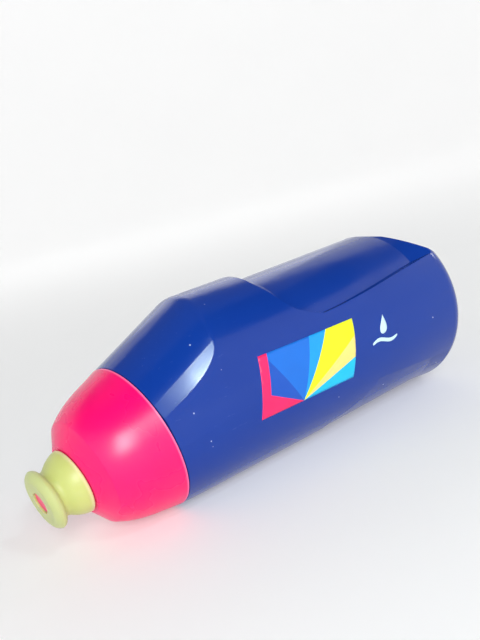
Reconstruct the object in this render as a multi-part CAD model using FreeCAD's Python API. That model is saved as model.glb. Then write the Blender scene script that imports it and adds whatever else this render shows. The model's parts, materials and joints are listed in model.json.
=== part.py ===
import FreeCAD, Part
import math
import os

# A squeezable bicycle water bottle, lying on its side.
# Millimetres. +Z up, +X along the bottle from the mouthpiece to the base, and the flat label side faces -Y.
# The bottle's own X runs from 0 at the mouthpiece's tip; the whole part is moved to its origin at the end.
# The neck is off the bottle's axis and leans, so that the cap's lowest edge is level with the bottle's side.

V = FreeCAD.Vector

# ---- the bottle ----
BODY_R = 36.5            # largest radius, at the base
BASE_X = 190.5           # the base's outer face
SEAM_X = 41.85           # where the cap's axis crosses the seam between cap and bottle
NECK_DROP = 7.9          # how far the cap's axis lies below the bottle's axis at the seam
NECK_LEAN = 9.5          # degrees between the cap's axis and the bottle's axis
SHOULDER_R = 28.7        # radius at the seam
SHOULDER_SLOPE = 25.0    # degrees that the shoulder's top facet rises
CREASE_ANGLE = 35.0      # degrees above the side where the facet's arc turns into a straight flank
CREASE_R = 6.5           # soft rounding where the facet meets the bottle's sides and top
FULL_X = 170.0           # where the sides reach the largest radius
LEVEL_X = 115.0          # where the widest line reaches the bottle's axis
HULL_SPANS = 12          # ovals that the wall is drawn through
WALL = 1.3               # blow-moulded wall
BASE_EDGE_R = 8.0        # outer rounding of the base's edge
DIMPLE_R = 18.0          # the push-up in the base
DIMPLE_DEPTH = 5.0

# ---- the two long recesses, top and bottom ----
TOP_CREST_X = 98.0
TOP_FLOOR = (33.3, 34.2)     # the floor's radius at its front and at the base
BOTTOM_CREST_X = 111.0
BOTTOM_FLOOR = (35.6, 35.4)
RECESS_RAMP = 1.8        # length of the steep step from the crest down to the floor
RECESS_FADE = (172.0, 187.0)     # the floor rises to the bottle's wall between these, near the base
# The recess's edge seen from the side, behind the crest and over the axis: a curved front, then a side.
FRONT_EDGE = ((0.0, 36.8), (0.9, 32.8), (2.3, 30.2), (5.0, 24.8), (8.8, 20.9), (13.5, 18.5), (18.3, 17.0))
SIDE_EDGE = ((18.3, 17.0), (38.0, 18.1), (64.0, 20.6), (100.0, 23.0))
BEVELS = ((170.0, 34.3, 20.0), (172.0, 34.6, 40.0))   # two facets that fall to the base: X, height, degrees

# ---- the slightly flattened underside that the bottle lies on: along X, and height over the axis ----
UNDERSIDE = ((44.0, -36.4), (111.0, -35.35), (119.0, -34.3), (195.0, -34.3))

# ---- neck and thread ----
NECK_R = 21.5
NECK_BORE_R = 19.7
NECK_HEIGHT = 12.0
LEAD = 4.0               # the cap rises this much in one turn
THREAD_TURNS = 1.75
THREAD_DEPTH = 1.2
THREAD_ROOT = 1.7        # width of the ridge at its root
THREAD_CREST = 0.8
THREAD_START = 2.2       # from the seam to the middle of the neck thread's first turn

# ---- cap ----
SEAM_GAP = 0.45
CAP_WALL = 1.6
RIDGE_A = 18.6           # the soft ridge between the cap's front cone and its skirt, measured from the tip
RIDGE_R = 20.2
RIDGE_ROUND = 1.4
SWELL = ((21.8, 22.2), (25.5, 24.0), (33.0, 26.45))   # the skirt's outline between the ridge and the seam
SEAT_A = 14.1            # the flat that the mouthpiece closes on
SEAT_R = 13.2
CAP_BORE_R = 23.1        # root of the cap's thread
SHELF_A = 28.35          # face that presses on the sealing ring
SHELF_THICK = 1.6
SHELF_R = 19.4           # hole in the shelf

# ---- spout and valve pin, parts of the cap ----
SPOUT_R = 5.6
SPOUT_BORE_R = 4.6
SPOUT_TIP_A = 3.2
BEAD_R = 6.0             # bead round the spout's tip, which stops the mouthpiece
BEAD_LENGTH = 1.4
PIN_R = 2.4
PIN_HEAD_R = 4.05
PIN_HEAD_A = 0.6         # the pin's front face, just inside the mouthpiece's hole
PIN_HEAD_LENGTH = 1.7
WEB_COUNT = 3
WEB_THICK = 1.2
WEB_LENGTH = 4.0

# ---- mouthpiece ----
LIP_R = 11.2             # the flange that the teeth hold
LIP_THICK = 4.1
GROOVE = ((4.5, 8.9), (5.6, 8.7))                     # the bite groove behind the flange
FLARE = ((7.8, 9.95), (10.8, 11.6))                   # the skirt's outline
SKIRT_R = 12.25
SKIRT_END_A = 13.9
HOLE_R = 4.1
TIP_WALL = 2.2
SLIDE_FIT = 0.05         # radial clearance on the spout and its bead
STOP_A = 11.4            # front face of the inner lip that meets the bead

# ---- sealing ring ----
SEAL_THICK = 1.5
SEAL_OUTER_R = 22.7
SEAL_INNER_R = 19.5

LEAN = math.radians(NECK_LEAN)
SEAM_CENTRE = V(SEAM_X, 0.0, -NECK_DROP)
AXIS = V(math.cos(LEAN), 0.0, math.sin(LEAN))        # the cap's axis, from the tip towards the bottle
CROSS = V(-math.sin(LEAN), 0.0, math.cos(LEAN))      # across the cap's axis, upwards
SIDE = V(0.0, 1.0, 0.0)


def on_cap_axis(a):
    """The point of the cap's axis at distance a from the mouthpiece's tip."""
    return SEAM_CENTRE + AXIS * (a - SEAM_X)


def lean(shape):
    """Carry a shape made along +X, with the tip at zero, onto the cap's leaning axis."""
    shape.rotate(V(0, 0, 0), V(0, 1, 0), -NECK_LEAN)
    shape.translate(on_cap_axis(0.0))
    return shape


def revolve(points):
    """Turn a closed outline of (along X, radius) points about the X axis."""
    corners = [V(x, 0, r) for x, r in points]
    face = Part.Face(Part.makePolygon(corners + corners[:1]))
    return face.revolve(V(0, 0, 0), V(1, 0, 0), 360)


def tube(x0, x1, outer, inner=0.0):
    """A tube, or a rod when inner is zero, along X."""
    body = Part.makeCylinder(outer, x1 - x0, V(x0, 0, 0), V(1, 0, 0))
    if inner > 0:
        body = body.cut(Part.makeCylinder(inner, x1 - x0 + 2, V(x0 - 1, 0, 0), V(1, 0, 0)))
    return body


def behind(a):
    """A large block on the base's side of the plane across the cap's axis at distance a from the tip."""
    size = 400.0
    return lean(Part.makeBox(size, size, size, V(a, -size / 2, -size / 2)))


def edges_at(solid, x):
    """The edges that lie wholly in the plane across X at x."""
    return [e for e in solid.Edges if abs(e.BoundBox.XMin - x) < 0.01 and abs(e.BoundBox.XMax - x) < 0.01]


def section(centre, tilt, width, up, down):
    """A closed oval: half-ellipses of height up and down over one half width, in a plane leaning by tilt."""
    halves = []
    for height, sign in ((up, 1), (down, -1)):
        half = Part.Arc(SIDE * (width * sign), V(0, 0, width * sign), SIDE * (-width * sign)).toShape()
        stretch = FreeCAD.Matrix()
        stretch.scale(1, 1, height / width)
        half = half.transformGeometry(stretch)
        half.rotate(V(0, 0, 0), SIDE, -math.degrees(tilt))
        half.translate(centre)
        halves.append(half)
    return Part.Wire(halves)


def half_width(x):
    share = min(1.0, (x - SEAM_X) / (FULL_X - SEAM_X))
    return SHOULDER_R + (BODY_R - SHOULDER_R) * (1 - (1 - share) ** 1.35)


def widest_height(x):
    share = min(1.0, (x - SEAM_X) / (LEVEL_X - SEAM_X))
    return -NECK_DROP * (1 - share) ** 1.3


def hull(inset, base_x):
    """The bottle without its shoulder facet and recesses, every wall moved in by inset."""
    radius = SHOULDER_R - inset
    high = BODY_R - inset
    spacing = (base_x - SEAM_X) / HULL_SPANS
    wires = [section(SEAM_CENTRE - AXIS * spacing, LEAN, radius, high, radius),
             section(SEAM_CENTRE, LEAN, radius, high, radius)]
    for i in range(1, HULL_SPANS + 1):
        x = SEAM_X + i * spacing
        middle = widest_height(x)
        wires.append(section(V(x, 0, middle), 0.0, half_width(x) - inset, high - middle, high + middle))
    return Part.makeLoft(wires, True, False)


def shoulder_keep(inset):
    """Everything below the shoulder's facet: an arch on two flanks, pushed up the shoulder's slope."""
    radius = SHOULDER_R - inset
    crease = math.radians(CREASE_ANGLE)
    slope = math.radians(SHOULDER_SLOPE)
    push = V(math.cos(slope), 0, math.sin(slope))
    start = SEAM_CENTRE - push * 8.0

    def at(side, up):
        return start + SIDE * side + CROSS * up

    arch_side = radius * math.cos(crease)
    arch_up = radius * math.sin(crease)
    reach = 90.0
    foot_side = arch_side + reach * math.sin(crease)
    foot_up = arch_up - reach * math.cos(crease)
    arch = Part.Arc(at(-arch_side, arch_up), at(0, radius), at(arch_side, arch_up)).toShape()
    flank_1 = Part.makeLine(at(arch_side, arch_up), at(foot_side, foot_up))
    drop = Part.makePolygon([at(foot_side, foot_up), at(foot_side, foot_up - 200),
                             at(-foot_side, foot_up - 200), at(-foot_side, foot_up)])
    flank_2 = Part.makeLine(at(-foot_side, foot_up), at(-arch_side, arch_up))
    face = Part.Face(Part.Wire([arch, flank_1] + drop.Edges + [flank_2]))
    return face.extrude(push * 260.0)


def recess(crest_x, floor, inset, sign):
    """What a long recess takes away: all outside its floor, beyond its curved front and side edge."""
    crest_x -= 0.6 * inset
    front_r, rear_r = (radius - inset for radius in floor)
    fade_start, fade_end = RECESS_FADE
    top = BODY_R + 10
    end = crest_x + SIDE_EDGE[-1][0]
    edges = []
    for outline in (FRONT_EDGE, SIDE_EDGE):
        edge = Part.BSplineCurve()
        edge.interpolate(Points=[V(crest_x + x, 0, up - inset) for x, up in outline])
        edges.append(edge.toShape())
    first = V(crest_x, 0, FRONT_EDGE[0][1] - inset)
    last = V(end, 0, SIDE_EDGE[-1][1] - inset)
    lid = Part.makePolygon([last, V(end, 0, top), V(crest_x, 0, top), first])
    side_view = Part.Face(Part.Wire(edges + lid.Edges))
    block = side_view.extrude(V(0, 140, 0))
    block.translate(V(0, -70, 0))
    if sign < 0:
        block = block.mirror(V(0, 0, 0), V(0, 0, 1))
    core = revolve([(crest_x - 10, 0), (crest_x - 10, BODY_R + 0.3 - inset), (crest_x, BODY_R + 0.2 - inset),
                    (crest_x + RECESS_RAMP, front_r + 0.4), (crest_x + 3 * RECESS_RAMP, front_r),
                    (fade_start, rear_r), (fade_end, BODY_R + 0.3 - inset), (end + 5, BODY_R + 0.3 - inset),
                    (end + 5, 0)])
    return block.cut(core)


def bevel(x, height, slope, inset):
    """The block above one of the facets at the end of the top recess."""
    block = Part.makeBox(200, 200, 100, V(-100, -100, 0))
    block.rotate(V(0, 0, 0), V(0, 1, 0), slope)
    block.translate(V(x, 0, height - inset / math.cos(math.radians(slope))))
    return block


def underside(inset):
    """The block below the flattened underside."""
    corners = [V(x, 0, up + inset) for x, up in UNDERSIDE]
    corners += [V(UNDERSIDE[-1][0], 0, -60), V(UNDERSIDE[0][0], 0, -60)]
    side_view = Part.Face(Part.makePolygon(corners + corners[:1]))
    block = side_view.extrude(V(0, 140, 0))
    block.translate(V(0, -70, 0))
    return block


def bottle_skin(inset, base_x, edge_r):
    """The solid inside the bottle's wall, or the bottle's outside when inset is zero."""
    solid = hull(inset, base_x).common(shoulder_keep(inset))
    crease = [e for e in solid.Edges if e.BoundBox.XMax < base_x - 5 and e.BoundBox.ZMax > -20]
    solid = solid.makeFillet(CREASE_R - inset, crease)
    solid = solid.makeFillet(edge_r, edges_at(solid, base_x))
    solid = solid.cut(recess(TOP_CREST_X, TOP_FLOOR, inset, 1))
    solid = solid.cut(recess(BOTTOM_CREST_X, BOTTOM_FLOOR, inset, -1))
    for facet in BEVELS:
        solid = solid.cut(bevel(*facet, inset))
    solid = solid.cut(underside(inset))
    return solid.common(behind(SEAM_X + inset))


def helical_ridge(root_r, crest_r, first_a, turns):
    """A thread ridge about X, rising LEAD a turn; the crest may lie outside or inside the root."""
    sink = 0.25 if crest_r > root_r else -0.25
    helix = Part.makeHelix(LEAD, LEAD * turns, root_r)
    outline = [V(root_r - sink, 0, -THREAD_ROOT / 2), V(root_r, 0, -THREAD_ROOT / 2),
               V(crest_r, 0, -THREAD_CREST / 2), V(crest_r, 0, THREAD_CREST / 2),
               V(root_r, 0, THREAD_ROOT / 2), V(root_r - sink, 0, THREAD_ROOT / 2)]
    profile = Part.makePolygon(outline + outline[:1])
    ridge = Part.Wire(helix.Edges).makePipeShell([profile], True, True)
    ridge.rotate(V(0, 0, 0), V(0, 1, 0), 90)
    ridge.translate(V(first_a, 0, 0))
    return ridge


def make_bottle_body():
    body = bottle_skin(0.0, BASE_X, BASE_EDGE_R)
    dimple_outline = [(BASE_X + 1, 0), (BASE_X - DIMPLE_DEPTH, 0), (BASE_X - DIMPLE_DEPTH, DIMPLE_R - 8),
                      (BASE_X, DIMPLE_R), (BASE_X + 1, DIMPLE_R)]
    body = body.cut(revolve(dimple_outline))
    rim_a = SEAM_X - NECK_HEIGHT
    body = body.fuse(lean(tube(rim_a, SEAM_X + 2 * WALL, NECK_R)))
    inside = bottle_skin(WALL, BASE_X - WALL, BASE_EDGE_R - WALL)
    cover = [(x - WALL, r + (WALL if r > 0 else 0)) for x, r in dimple_outline]
    cover[0] = (BASE_X + 1, 0)
    cover[-1] = (BASE_X + 1, DIMPLE_R + WALL)
    inside = inside.cut(revolve(cover))
    inside = inside.fuse(lean(tube(rim_a - 1, SEAM_X + 2 * WALL + 1, NECK_BORE_R)))
    body = body.cut(inside)
    first_a = SEAM_X - THREAD_START - LEAD * THREAD_TURNS
    ridge = helical_ridge(NECK_R, NECK_R + THREAD_DEPTH, first_a, THREAD_TURNS)
    return body.fuse(lean(ridge))


def make_screw_cap():
    end_a = SEAM_X - SEAM_GAP
    shelf_top = SHELF_A - SHELF_THICK
    skirt = Part.BSplineCurve()
    skirt.interpolate(Points=[V(a, 0, r) for a, r in ((RIDGE_A, RIDGE_R), *SWELL, (end_a, SHOULDER_R))])
    front = Part.makePolygon([V(SEAT_A, 0, 0), V(SEAT_A, 0, SEAT_R), V(RIDGE_A, 0, RIDGE_R)])
    back = Part.makePolygon([V(end_a, 0, SHOULDER_R), V(end_a, 0, 0), V(SEAT_A, 0, 0)])
    outline = Part.Wire(front.Edges + [skirt.toShape()] + back.Edges)
    outside = Part.Face(outline).revolve(V(0, 0, 0), V(1, 0, 0), 360)
    outside = outside.makeFillet(RIDGE_ROUND, edges_at(outside, RIDGE_A))
    deeper = 0.75 * CAP_WALL
    inside = revolve([(SEAT_A + CAP_WALL, 0), (SEAT_A + CAP_WALL, SEAT_R - 0.5),
                      (RIDGE_A + deeper, RIDGE_R - deeper), (shelf_top, CAP_BORE_R), (shelf_top, SHELF_R),
                      (SHELF_A, SHELF_R), (SHELF_A, CAP_BORE_R), (end_a + 1, CAP_BORE_R), (end_a + 1, 0)])
    cap = outside.cut(inside)
    bead_end = SPOUT_TIP_A + BEAD_LENGTH
    spout = revolve([(SPOUT_TIP_A, SPOUT_BORE_R), (SPOUT_TIP_A, BEAD_R - 0.5), (SPOUT_TIP_A + 0.5, BEAD_R),
                     (bead_end, BEAD_R), (bead_end + 0.3, SPOUT_R), (SEAT_A + CAP_WALL, SPOUT_R),
                     (SEAT_A + CAP_WALL, SPOUT_BORE_R)])
    cap = cap.fuse(spout)
    cap = cap.cut(tube(SEAT_A - 1, SEAT_A + CAP_WALL + 1, SPOUT_BORE_R))
    head_end = PIN_HEAD_A + PIN_HEAD_LENGTH
    web_end = SEAT_A + CAP_WALL
    web_height = SPOUT_BORE_R + 0.4
    pin = revolve([(PIN_HEAD_A, 0), (PIN_HEAD_A, PIN_HEAD_R - 0.3), (PIN_HEAD_A + 0.3, PIN_HEAD_R),
                   (head_end, PIN_HEAD_R), (head_end + 1.2, PIN_R), (web_end, PIN_R), (web_end, 0)])
    cap = cap.fuse(pin)
    for i in range(WEB_COUNT):
        web = Part.makeBox(WEB_LENGTH, WEB_THICK, web_height, V(web_end - WEB_LENGTH, -WEB_THICK / 2, 0))
        web.rotate(V(0, 0, 0), V(1, 0, 0), i * 360.0 / WEB_COUNT)
        cap = cap.fuse(web)
    first_a = SEAM_X - THREAD_START - LEAD * (THREAD_TURNS + 0.5)
    ridge = helical_ridge(CAP_BORE_R, CAP_BORE_R - THREAD_DEPTH, first_a, THREAD_TURNS)
    return lean(cap.fuse(ridge).removeSplitter())


def make_cap_gasket():
    return lean(tube(SHELF_A, SHELF_A + SEAL_THICK, SEAL_OUTER_R, SEAL_INNER_R))


def make_mouthpiece():
    """The soft nozzle: a round-edged lip, a bite groove and a flaring skirt, hollow to slide on the spout."""
    lip_mid = LIP_THICK / 2
    lip_back = V(LIP_THICK, 0, LIP_R - 1.9)
    skirt_edge = V(SKIRT_END_A - 0.6, 0, SKIRT_R)
    outer = Part.BSplineCurve()
    outer.interpolate(Points=[lip_back, *(V(a, 0, r) for a, r in GROOVE + FLARE), skirt_edge])
    edges = [
        Part.makeLine(V(0.0, 0, 0), V(0.0, 0, LIP_R - 4.0)),
        Part.Arc(V(0.0, 0, LIP_R - 4.0), V(0.55, 0, LIP_R - 1.2), V(lip_mid, 0, LIP_R)).toShape(),
        Part.Arc(V(lip_mid, 0, LIP_R), V(LIP_THICK - 0.5, 0, LIP_R - 0.7), lip_back).toShape(),
        outer.toShape(),
        Part.Arc(skirt_edge, V(SKIRT_END_A - 0.1, 0, SKIRT_R - 0.2), V(SKIRT_END_A, 0, SKIRT_R - 0.7)).toShape(),
        Part.makeLine(V(SKIRT_END_A, 0, SKIRT_R - 0.7), V(SKIRT_END_A, 0, 0)),
        Part.makeLine(V(SKIRT_END_A, 0, 0), V(0.0, 0, 0)),
    ]
    solid = Part.Face(Part.Wire(edges)).revolve(V(0, 0, 0), V(1, 0, 0), 360)
    bore = revolve([(-1, 0), (-1, HOLE_R), (TIP_WALL, HOLE_R), (TIP_WALL, BEAD_R + SLIDE_FIT),
                    (STOP_A, BEAD_R + SLIDE_FIT), (STOP_A, SPOUT_R + SLIDE_FIT),
                    (SKIRT_END_A + 1, SPOUT_R + SLIDE_FIT), (SKIRT_END_A + 1, 0)])
    return lean(solid.cut(bore))


def main():
    parts = {
        "bottle_body": make_bottle_body(),
        "screw_cap": make_screw_cap(),
        "cap_gasket": make_cap_gasket(),
        "mouthpiece": make_mouthpiece(),
    }
    points = Part.makeCompound(list(parts.values())).tessellate(0.02)[0]
    ends = [p.x for p in points]
    shift = V(-(min(ends) + max(ends)) / 2, 0, -min(p.z for p in points))
    os.makedirs("parts", exist_ok=True)
    for name, shape in parts.items():
        shape.translate(shift)
        solids = shape.Solids
        print(name, "solids", len(solids), "valid", shape.isValid(), "volume", round(shape.Volume, 1),
              "box", shape.BoundBox)
        solids[0].exportStep("parts/%s.step" % name)
    print("shift", shift, "axis", AXIS, "tip", on_cap_axis(0.0) + shift, "seam", SEAM_CENTRE + shift)


main()
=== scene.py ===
import json
import math

import bmesh
import bpy
from mathutils import Matrix, Vector
from mathutils.bvhtree import BVHTree


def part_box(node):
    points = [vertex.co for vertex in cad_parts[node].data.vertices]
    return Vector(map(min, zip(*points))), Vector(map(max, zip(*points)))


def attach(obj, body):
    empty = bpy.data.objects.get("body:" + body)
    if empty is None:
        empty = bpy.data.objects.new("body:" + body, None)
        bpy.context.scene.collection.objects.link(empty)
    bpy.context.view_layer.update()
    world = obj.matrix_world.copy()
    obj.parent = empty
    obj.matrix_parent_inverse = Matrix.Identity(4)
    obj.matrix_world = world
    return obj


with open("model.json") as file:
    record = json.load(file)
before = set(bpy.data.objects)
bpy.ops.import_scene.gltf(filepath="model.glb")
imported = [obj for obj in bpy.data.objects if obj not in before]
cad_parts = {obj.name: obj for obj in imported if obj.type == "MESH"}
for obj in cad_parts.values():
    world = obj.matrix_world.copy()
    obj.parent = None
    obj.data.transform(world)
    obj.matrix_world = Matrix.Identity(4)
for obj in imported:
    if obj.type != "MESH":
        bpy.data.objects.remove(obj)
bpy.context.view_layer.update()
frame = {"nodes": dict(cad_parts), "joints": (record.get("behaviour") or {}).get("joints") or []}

scene = bpy.context.scene
scene.view_settings.view_transform = "Standard"

BODY_RADIUS = 0.0365
body_lo, body_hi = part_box("bottle_body")
FRONT_X = body_lo.x                      # the mouth's rim
BASE_X = body_hi.x                       # the base's outer face
AXIS_Z = body_hi.z - BODY_RADIUS         # height of the bottle's own axis
joints = {joint["name"]: joint for joint in frame["joints"]}
CAP_AXIS = -Vector(joints["cap_turn"]["axis"]).normalized()      # from the tip towards the bottle
SEAM = Vector(joints["cap_turn"]["pos_m"])                       # centre of the cap's open edge


# ---------------------------------------------------------------- camera
CAMERA_PLACE = Vector((-0.17922, -0.2552, 0.12313))
CAMERA_AHEAD = Vector((0.569, 0.7945, -0.2123)).normalized()
CAMERA_UP_HINT = Vector((0.3061, 0.0349, 0.9513))                # leaning, as the camera is rolled


def place_camera():
    data = bpy.data.cameras.new("camera")
    data.lens = 45.62
    data.sensor_width = 36.0
    data.clip_start = 0.01
    data.clip_end = 50.0
    camera = bpy.data.objects.new("camera", data)
    scene.collection.objects.link(camera)
    right = CAMERA_AHEAD.cross(CAMERA_UP_HINT).normalized()
    up = right.cross(CAMERA_AHEAD)
    turn = Matrix((right, up, -CAMERA_AHEAD)).transposed().to_4x4()
    camera.matrix_world = Matrix.Translation(CAMERA_PLACE) @ turn
    scene.camera = camera


place_camera()


# ---------------------------------------------------------------- node helpers
class Shader:
    """A material being wired: each method adds one node and returns its output."""

    def __init__(self, name):
        self.material = bpy.data.materials.new(name)
        self.material.use_nodes = True
        self.tree = self.material.node_tree
        self.surface = self.tree.nodes["Principled BSDF"]
        self.place = self.node("ShaderNodeTexCoord").outputs["Object"]

    def node(self, kind):
        return self.tree.nodes.new(kind)

    def wire(self, value, socket):
        if isinstance(value, bpy.types.NodeSocket):
            self.tree.links.new(value, socket)
        else:
            socket.default_value = value

    def stretched(self, scale):
        mapping = self.node("ShaderNodeMapping")
        self.wire(self.place, mapping.inputs["Vector"])
        mapping.inputs["Scale"].default_value = scale
        return mapping.outputs["Vector"]

    def noise(self, scale, detail=2.0, rough=0.5, vector=None):
        node = self.node("ShaderNodeTexNoise")
        self.wire(vector or self.place, node.inputs["Vector"])
        node.inputs["Scale"].default_value = scale
        node.inputs["Detail"].default_value = detail
        node.inputs["Roughness"].default_value = rough
        return node.outputs["Fac"]

    def math(self, operation, a, b=0.0, c=0.0):
        node = self.node("ShaderNodeMath")
        node.operation = operation
        for value, socket in zip((a, b, c), node.inputs):
            self.wire(value, socket)
        return node.outputs[0]

    def remap(self, value, low, high, to_low=0.0, to_high=1.0):
        node = self.node("ShaderNodeMapRange")
        node.interpolation_type = "SMOOTHSTEP"
        for item, socket in zip((value, low, high, to_low, to_high), node.inputs):
            self.wire(item, socket)
        return node.outputs["Result"]

    def blend(self, amount, first, second):
        node = self.node("ShaderNodeMix")
        node.data_type = "RGBA"
        self.wire(amount, node.inputs[0])
        self.wire(first, node.inputs[6])
        self.wire(second, node.inputs[7])
        return node.outputs[2]

    def parts(self):
        node = self.node("ShaderNodeSeparateXYZ")
        self.wire(self.place, node.inputs[0])
        return node.outputs

    def specks(self, scale, size, share):
        """Tiny dots, one in some of the cells of a Voronoi pattern."""
        cells = self.node("ShaderNodeTexVoronoi")
        self.wire(self.place, cells.inputs["Vector"])
        cells.inputs["Scale"].default_value = scale
        dot = self.remap(cells.outputs["Distance"], size * 0.6, size, 1.0, 0.0)
        pick = self.node("ShaderNodeSeparateColor")
        self.wire(cells.outputs["Color"], pick.inputs[0])
        chosen = self.math("LESS_THAN", pick.outputs[0], share)
        return self.math("MULTIPLY", dot, chosen)

    def along_cap(self):
        """Distance from the seam towards the tip, along the cap's axis."""
        shift = self.node("ShaderNodeVectorMath")
        shift.operation = "SUBTRACT"
        self.wire(self.place, shift.inputs[0])
        shift.inputs[1].default_value = SEAM
        dot = self.node("ShaderNodeVectorMath")
        dot.operation = "DOT_PRODUCT"
        self.wire(shift.outputs[0], dot.inputs[0])
        dot.inputs[1].default_value = -CAP_AXIS
        return dot.outputs["Value"]

    def bump(self, *layers):
        """Stack (height, distance in metres, strength) layers of relief."""
        normal = None
        for height, distance, strength in layers:
            node = self.node("ShaderNodeBump")
            self.wire(height, node.inputs["Height"])
            node.inputs["Distance"].default_value = distance
            node.inputs["Strength"].default_value = strength
            if normal:
                self.wire(normal, node.inputs["Normal"])
            normal = node.outputs["Normal"]
        self.wire(normal, self.surface.inputs["Normal"])

    def finish(self, colour, roughness, **fixed):
        self.wire(colour, self.surface.inputs["Base Color"])
        self.wire(roughness, self.surface.inputs["Roughness"])
        for name, value in fixed.items():
            self.surface.inputs[name.replace("_", " ")].default_value = value
        return self.material


def bottle_plastic():
    """Blow-moulded polyethylene: glossy, slightly wavy, with scuffs at its ends and a little dust."""
    s = Shader("blue_blown_plastic")
    x = s.parts()[0]
    blotch = s.noise(22.0, 3.0)
    wave = s.noise(55.0, 1.0)
    streaks = s.noise(1.0, 4.0, 0.7, s.stretched((90.0, 900.0, 900.0)))
    near_seam = s.remap(x, FRONT_X + 0.022, FRONT_X + 0.065, 1.0, 0.0)
    near_base = s.remap(x, BASE_X - 0.012, BASE_X - 0.003, 0.0, 1.0)
    worn = s.math("MAXIMUM", near_seam, near_base)
    scuff = s.math("MULTIPLY", s.remap(streaks, 0.64, 0.80), worn)
    grit = s.math("MULTIPLY", s.specks(240.0, 0.075, 0.30), near_seam)
    dust = s.math("MAXIMUM", s.specks(110.0, 0.040, 0.30), grit)
    colour = s.blend(blotch, (0.002, 0.029, 0.238, 1.0), (0.004, 0.039, 0.285, 1.0))
    colour = s.blend(s.math("MULTIPLY", scuff, 0.35), colour, (0.16, 0.26, 0.62, 1.0))
    colour = s.blend(s.math("MULTIPLY", dust, 0.7), colour, (0.55, 0.65, 0.85, 1.0))
    rough = s.remap(s.noise(30.0, 3.0), 0.3, 0.7, 0.14, 0.19)
    rough = s.math("ADD", rough, s.math("MULTIPLY", scuff, 0.15))
    s.bump((wave, 0.00030, 0.5))
    return s.finish(colour, rough, IOR=1.5, Specular_IOR_Level=0.40)


def cap_plastic():
    """Injection-moulded polypropylene in a bright pink, with a painted highlight: a paler line round
    its open rim.
    """
    s = Shader("pink_moulded_plastic")
    along = s.along_cap()
    blotch = s.noise(35.0, 3.0)
    dust = s.specks(170.0, 0.04, 0.14)
    colour = s.blend(blotch, (0.80, 0.0005, 0.120, 1.0), (0.89, 0.0010, 0.155, 1.0))
    # painted highlight: a paler pink line round the cap's open rim, next to the seam
    painted_edge_highlight = s.remap(along, 0.0007, 0.0013, 1.0, 0.0)
    colour = s.blend(s.math("MULTIPLY", painted_edge_highlight, 0.5), colour, (1.0, 0.25, 0.48, 1.0))
    colour = s.blend(s.math("MULTIPLY", dust, 0.5), colour, (1.0, 0.55, 0.70, 1.0))
    rough = s.remap(s.noise(40.0, 3.0), 0.3, 0.7, 0.25, 0.32)
    s.bump((s.noise(70.0, 0.0), 0.00010, 0.3))
    return s.finish(colour, rough, IOR=1.49, Specular_IOR_Level=0.45, Subsurface_Weight=0.15,
                    Subsurface_Radius=(1.0, 0.2, 0.3), Subsurface_Scale=0.002)


def nozzle_plastic():
    """Soft translucent plastic in a pale yellow green, duller on the flange, with a painted glow of
    light through the thin lower rim that makes it paler there.
    """
    s = Shader("soft_translucent_plastic")
    blotch = s.noise(90.0, 3.0)
    grain = s.noise(900.0, 3.0, 0.6)
    along = s.along_cap()
    flange = s.remap(along, 0.0365, 0.0390)
    # painted glow: the thin lower rim made paler, as if lit from within by light shining through it
    hem_painted_glow = s.remap(along, 0.0284, 0.0298, 1.0, 0.0)
    colour = s.blend(blotch, (0.49, 0.54, 0.160, 1.0), (0.56, 0.60, 0.215, 1.0))
    colour = s.blend(s.math("MULTIPLY", flange, 0.65), colour, (0.46, 0.51, 0.250, 1.0))
    colour = s.blend(s.math("MULTIPLY", hem_painted_glow, 0.60), colour, (0.80, 0.70, 0.45, 1.0))
    dust = s.specks(260.0, 0.05, 0.10)
    colour = s.blend(s.math("MULTIPLY", dust, 0.4), colour, (0.45, 0.40, 0.20, 1.0))
    rough = s.remap(s.noise(60.0, 3.0), 0.3, 0.7, 0.30, 0.40)
    s.bump((s.noise(160.0, 1.0), 0.00012, 0.4), (grain, 0.00002, 0.2))
    return s.finish(colour, rough, IOR=1.45, Specular_IOR_Level=0.45, Subsurface_Weight=0.5,
                    Subsurface_Radius=(1.0, 0.85, 0.35), Subsurface_Scale=0.003)


def seal_rubber():
    """Matt, off-white silicone."""
    s = Shader("seal_silicone")
    colour = s.blend(s.noise(120.0, 3.0), (0.66, 0.66, 0.62, 1.0), (0.78, 0.78, 0.74, 1.0))
    s.bump((s.noise(1200.0, 3.0, 0.6), 0.00004, 0.4))
    return s.finish(colour, s.remap(s.noise(300.0, 3.0), 0.3, 0.7, 0.50, 0.64), IOR=1.41)


def print_ink(name, dark, light):
    """Screen-printed ink, a little uneven in its cover, with worn pinholes."""
    s = Shader(name)
    colour = s.blend(s.noise(120.0, 4.0, 0.6), dark, light)
    worn = s.specks(420.0, 0.09, 0.05)
    colour = s.blend(s.math("MULTIPLY", worn, 0.5), colour, (0.05, 0.09, 0.40, 1.0))
    s.bump((s.noise(1300.0, 3.0, 0.6), 0.00003, 0.3))
    rough = s.remap(s.noise(200.0, 4.0), 0.3, 0.7, 0.30, 0.42)
    return s.finish(colour, rough, IOR=1.5, Specular_IOR_Level=0.45)


node_materials = {
    "bottle_body": bottle_plastic(),
    "screw_cap": cap_plastic(),
    "cap_gasket": seal_rubber(),
    "mouthpiece": nozzle_plastic(),
}
for node_name, material in node_materials.items():
    for slot in frame["nodes"][node_name].material_slots:
        slot.material = material


# ---------------------------------------------------------------- the print on the bottle's label side
def body_surface():
    mesh = frame["nodes"]["bottle_body"].data
    points = [vertex.co.copy() for vertex in mesh.vertices]
    return BVHTree.FromPolygons(points, [tuple(face.vertices) for face in mesh.polygons])


WALL_TREE = body_surface()
PRINT_LIFT = 0.00008                     # gap between the wall and the middle of the ink
INK_THICK = 0.00012
PRINT_CELL = 0.0010                      # side of the cells that let the print bend with the wall
RAY_START_Y = -0.08                      # well outside the wall


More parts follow.
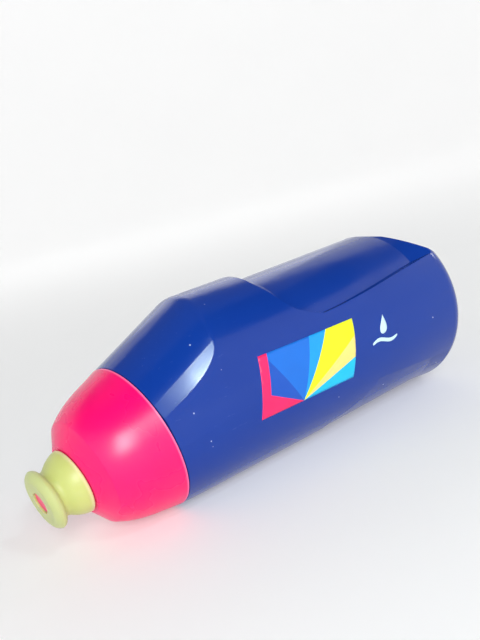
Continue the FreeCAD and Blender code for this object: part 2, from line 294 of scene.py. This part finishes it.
def on_wall(x, z):
    """The point of the label side's wall at x and z, lifted by the print's thickness."""
    hit = WALL_TREE.ray_cast(Vector((x, RAY_START_Y, z)), Vector((0.0, 1.0, 0.0)))[0]
    return hit - Vector((0.0, PRINT_LIFT, 0.0))


def cut(mesh, point, normal):
    """Split the faces along a plane."""
    geometry = mesh.verts[:] + mesh.edges[:] + mesh.faces[:]
    bmesh.ops.bisect_plane(mesh, geom=geometry, plane_co=point, plane_no=normal, dist=1e-7)


def cut_cells(mesh):
    """Split a flat print into small cells, by planes across x and across z."""
    xs = [vertex.co.x for vertex in mesh.verts]
    zs = [vertex.co.z for vertex in mesh.verts]
    for low, high, normal in ((min(xs), max(xs), (1, 0, 0)), (min(zs), max(zs), (0, 0, 1))):
        count = int((high - low) / PRINT_CELL)
        for i in range(1, count + 1):
            step = low + (high - low) * i / (count + 1)
            cut(mesh, (step * normal[0], 0.0, step * normal[2]), normal)


def print_piece(name, outline, materials, cuts, choose):
    """A thin print: a flat outline in x and z, cut into small cells and laid on the wall."""
    mesh = bmesh.new()
    mesh.faces.new([mesh.verts.new((x, 0.0, z)) for x, z in outline])
    for (x0, z0), (x1, z1) in cuts:
        cut(mesh, (x0, 0.0, z0), (z1 - z0, 0.0, x0 - x1))
    cut_cells(mesh)
    for face in mesh.faces:
        face.material_index = choose(face.calc_center_median())
        face.smooth = True
    for vertex in mesh.verts:
        vertex.co = on_wall(vertex.co.x, vertex.co.z)
    bmesh.ops.recalc_face_normals(mesh, faces=mesh.faces)
    if sum(face.normal.y for face in mesh.faces) > 0:
        bmesh.ops.reverse_faces(mesh, faces=mesh.faces)
    data = bpy.data.meshes.new(name)
    mesh.to_mesh(data)
    mesh.free()
    piece = bpy.data.objects.new(name, data)
    scene.collection.objects.link(piece)
    for material in materials:
        data.materials.append(material)
    skin = piece.modifiers.new("thickness", "SOLIDIFY")
    skin.thickness = INK_THICK
    skin.offset = -1.0
    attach(piece, "bottle")


PANEL_LEFT = BASE_X - 0.1147
PANEL_RIGHT = BASE_X - 0.0692
PANEL_SLANT = 0.0052
PANEL_LOW = AXIS_Z - 0.0108
PANEL_HIGH = AXIS_Z + 0.0115


def panel_point(u, v):
    """A point of the slanted colour panel: u along the bottle, v up, both from 0 to 1."""
    x = PANEL_LEFT + (PANEL_RIGHT - PANEL_LEFT) * u + PANEL_SLANT * v
    z = PANEL_LOW + (PANEL_HIGH - PANEL_LOW) * v
    return x, z


FAN = (0.44, 0.0)                        # where the fan's colours meet, on the panel's lower edge
PANEL_LINES = (
    ((0.085, 0.0), (0.085, 1.0)),        # strip at the left
    ((0.0, 0.42), FAN),                  # wedge below the fan
    ((0.085, 0.9), FAN),                 # fold in the first blue
    (FAN, (0.52, 1.0)),
    (FAN, (0.70, 1.0)),
    (FAN, (1.0, 0.72)),
    (FAN, (1.0, 0.36)),
)


def beside(line, u, v):
    """Above zero when the point lies to the left of the line."""
    (u0, v0), (u1, v1) = line
    return (u1 - u0) * (v - v0) - (v1 - v0) * (u - u0)


def panel_colour(point):
    """The number of the ink at a point of the flat panel."""
    v = (point.z - PANEL_LOW) / (PANEL_HIGH - PANEL_LOW)
    u = (point.x - PANEL_LEFT - PANEL_SLANT * v) / (PANEL_RIGHT - PANEL_LEFT)
    strip, wedge, fold, *fan = PANEL_LINES
    if beside(strip, u, v) > 0 or beside(wedge, u, v) < 0:
        return 0
    if beside(fold, u, v) < 0:
        return 1
    for index, line in enumerate(fan):
        if beside(line, u, v) > 0:
            return index + 2
    return len(PANEL_LINES) - 1


panel_inks = [
    print_ink("ink_pink_red", (0.86, 0.008, 0.095, 1.0), (0.94, 0.014, 0.140, 1.0)),
    print_ink("ink_deep_blue", (0.002, 0.062, 0.40, 1.0), (0.005, 0.085, 0.48, 1.0)),
    print_ink("ink_blue", (0.002, 0.125, 0.56, 1.0), (0.005, 0.155, 0.64, 1.0)),
    print_ink("ink_sky", (0.002, 0.27, 0.70, 1.0), (0.005, 0.33, 0.78, 1.0)),
    print_ink("ink_yellow", (0.76, 0.84, 0.004, 1.0), (0.84, 0.92, 0.010, 1.0)),
    print_ink("ink_cream", (0.80, 0.62, 0.15, 1.0), (0.88, 0.71, 0.22, 1.0)),
    print_ink("ink_cyan", (0.002, 0.44, 0.80, 1.0), (0.005, 0.51, 0.86, 1.0)),
]
print_piece(
    "label_panel",
    [panel_point(0, 0), panel_point(1, 0), panel_point(1, 1), panel_point(0, 1)],
    panel_inks,
    [(panel_point(*first), panel_point(*second)) for first, second in PANEL_LINES],
    panel_colour,
)

MARK_X = BASE_X - 0.0500
MARK_Z = AXIS_Z + 0.0047
DROP_HEIGHT = 0.0072
DROP_LEAN = 0.28
WAVE_LENGTH = 0.0135
WAVE_THICK = 0.0016
WAVE_BELOW = 0.0062
WAVE_SWING = 0.0009
WAVE_SHIFT = 0.0008


def drop_outline(count=40):
    """A leaning water drop, tip up, about the mark's centre."""
    points = []
    for i in range(count):
        t = 2 * math.pi * i / count
        side = 0.36 * DROP_HEIGHT * math.sin(t) * math.sin(t / 2) ** 1.5
        rise = 0.5 * DROP_HEIGHT * math.cos(t)
        points.append((MARK_X + side + DROP_LEAN * rise, MARK_Z + rise))
    return points


def wave_outline(count=24):
    """A band with a slow wave and round ends, below the drop."""
    upper, lower = [], []
    for i in range(count + 1):
        s = i / count
        x = MARK_X - WAVE_LENGTH / 2 + WAVE_LENGTH * s - WAVE_SHIFT
        z = MARK_Z - WAVE_BELOW + WAVE_SWING * math.sin(2 * math.pi * s)
        half = 0.5 * WAVE_THICK * math.sin(math.pi * (0.04 + 0.92 * s)) ** 0.4
        upper.append((x, z + half))
        lower.append((x, z - half))
    return lower + upper[::-1]


white_ink = print_ink("ink_white", (0.52, 0.74, 0.80, 1.0), (0.62, 0.84, 0.88, 1.0))
print_piece("label_drop", drop_outline(), [white_ink], [], lambda point: 0)
print_piece("label_wave", wave_outline(), [white_ink], [], lambda point: 0)


# ---------------------------------------------------------------- floor, lights and surroundings
FLOOR_FLAT = 1.4                         # radius of the flat part
FLOOR_BEND = 1.2                         # radius of the bend into the wall
FLOOR_TOP = 2.4
FLOOR_SIDES = 96
BEND_STEPS = 12


def floor_profile():
    """Radius and height of each ring, from the middle outwards and up."""
    profile = [(radius, 0.0) for radius in (0.0, 0.15, 0.4, 0.8, FLOOR_FLAT)]
    for i in range(1, BEND_STEPS + 1):
        a = 0.5 * math.pi * i / BEND_STEPS
        profile.append((FLOOR_FLAT + FLOOR_BEND * math.sin(a), FLOOR_BEND * (1 - math.cos(a))))
    profile.append((FLOOR_FLAT + FLOOR_BEND, FLOOR_TOP))
    return profile


def floor_ring(mesh, radius, height):
    if radius == 0.0:
        return [mesh.verts.new((0.0, 0.0, height))] * FLOOR_SIDES
    angles = [2 * math.pi * k / FLOOR_SIDES for k in range(FLOOR_SIDES)]
    return [mesh.verts.new((radius * math.cos(a), radius * math.sin(a), height)) for a in angles]


def floor_paper():
    """Pale paper that glows a little, more so towards the wall."""
    s = Shader("floor_paper")
    x, y = s.parts()[:2]
    away = s.math("SQRT", s.math("ADD", s.math("MULTIPLY", x, x), s.math("MULTIPLY", y, y)))
    colour = s.blend(s.noise(4.0, 2.0), (0.70, 0.70, 0.70, 1.0), (0.74, 0.74, 0.74, 1.0))
    s.wire(s.remap(away, 0.10, 1.3, 0.22, 0.50), s.surface.inputs["Emission Strength"])
    s.bump((s.noise(500.0, 3.0), 0.0001, 0.2))
    return s.finish(colour, 0.75, Specular_IOR_Level=0.2, Emission_Color=(1.0, 1.0, 1.0, 1.0))


def stage_floor():
    """A pale studio floor that curves up into a wall all round."""
    mesh = bmesh.new()
    rings = [floor_ring(mesh, radius, height) for radius, height in floor_profile()]
    for inner, outer in zip(rings, rings[1:]):
        for k in range(FLOOR_SIDES):
            after = (k + 1) % FLOOR_SIDES
            corners = [inner[k], outer[k], outer[after], inner[after]]
            mesh.faces.new(list(dict.fromkeys(corners))).smooth = True
    data = bpy.data.meshes.new("floor")
    mesh.to_mesh(data)
    mesh.free()
    data.materials.append(floor_paper())
    floor = bpy.data.objects.new("floor", data)
    scene.collection.objects.link(floor)


WHITE = (1.0, 1.0, 1.0)
COOL_WHITE = (0.75, 0.95, 1.0)
BOTTLE_CENTRE = Vector((0.0, 0.0, AXIS_Z))
# name, place, width, height, watts, colour
SOFTBOXES = (
    ("key", (-0.44, -0.76, 0.392), 0.26, 0.40, 6.2, WHITE),
    ("crease", (0.031, -0.665, 0.716), 0.08, 0.02, 0.95, COOL_WHITE),
    ("fill", (-0.9, -0.5, 0.35), 0.5, 0.5, 0.15, WHITE),
    ("top", (0.2, 0.3, 1.2), 1.2, 1.2, 0.7, WHITE),
    ("back", (0.5, 0.9, 0.6), 0.7, 0.5, 0.8, WHITE),
    ("rim", (0.85, -0.21, 0.50), 0.14, 0.20, 0.6, WHITE),
)


def softbox(name, place, width, height, watts, colour):
    """A rectangular lamp that faces the bottle."""
    data = bpy.data.lights.new(name, "AREA")
    data.shape = "RECTANGLE"
    data.size = width
    data.size_y = height
    data.energy = watts
    data.color = colour
    light = bpy.data.objects.new(name, data)
    scene.collection.objects.link(light)
    light.location = place
    light.rotation_euler = (BOTTLE_CENTRE - Vector(place)).to_track_quat("-Z", "Y").to_euler()


stage_floor()
for box in SOFTBOXES:
    softbox(*box)

world = bpy.data.worlds.new("world")
world.use_nodes = True
world.node_tree.nodes["Background"].inputs["Color"].default_value = (1.0, 1.0, 1.0, 1.0)
world.node_tree.nodes["Background"].inputs["Strength"].default_value = 0.07
scene.world = world
